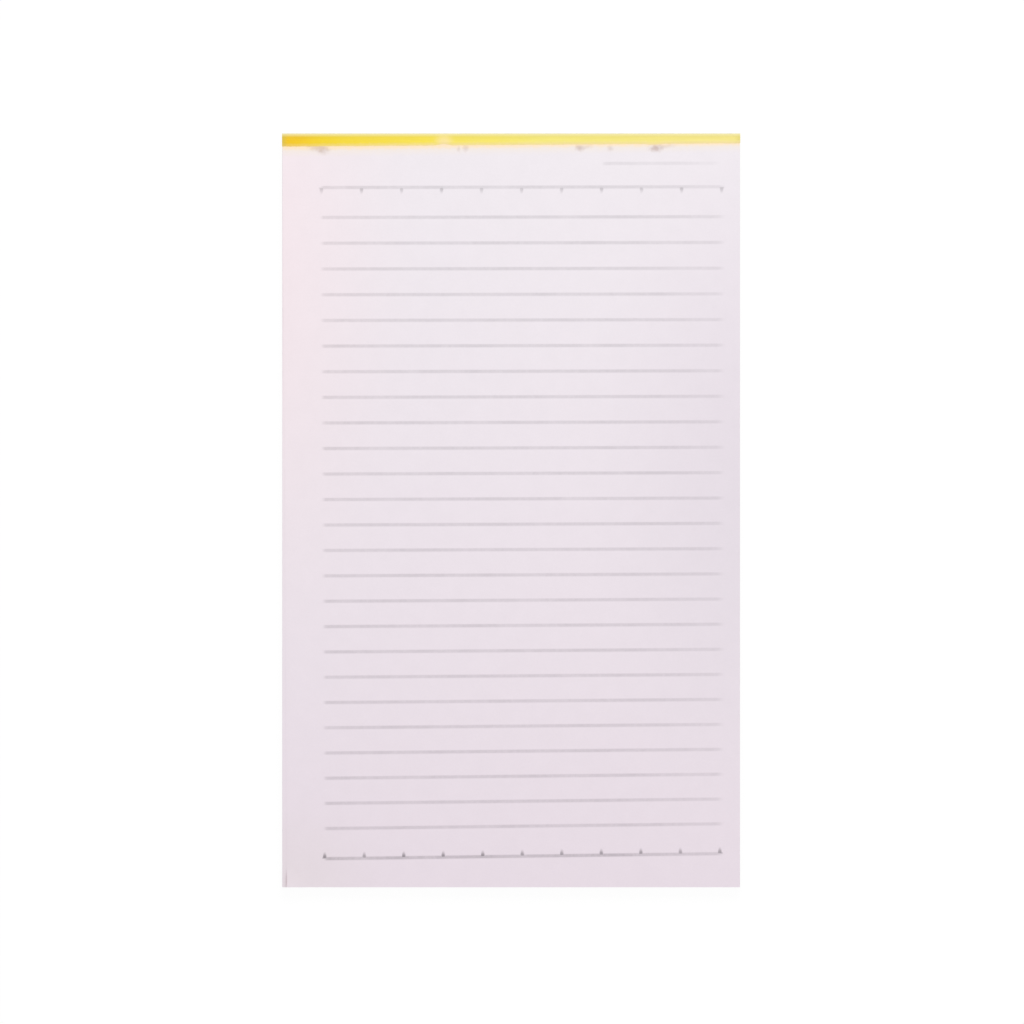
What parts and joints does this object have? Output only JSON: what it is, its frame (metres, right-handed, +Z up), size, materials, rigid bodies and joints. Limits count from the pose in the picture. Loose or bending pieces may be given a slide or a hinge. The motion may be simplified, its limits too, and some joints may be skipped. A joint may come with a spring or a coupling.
{
  "type": "legal pad",
  "caption": "Glue-bound ruled writing pad on a chipboard back, with a yellow binding tape folded over its head and loosely leafed sheet edges.",
  "frame": {"origin": "middle of the pad's outline, on the surface it lies on", "axes": "+X across the page to the reader's right, +Y up the page towards the bound head, +Z up out of the page"},
  "size_m": [0.127, 0.209, 0.0065],
  "materials": {
    "ruled_paper": "matte",
    "chipboard": "matte",
    "dried_glue": "satin",
    "yellow_tape": "satin"
  },
  "bodies": {
    "root": {"backing_board": "chipboard", "sheet_block": "ruled_paper", "padding_glue": "dried_glue", "binding_tape": "yellow_tape"}
  },
  "joints": []
}
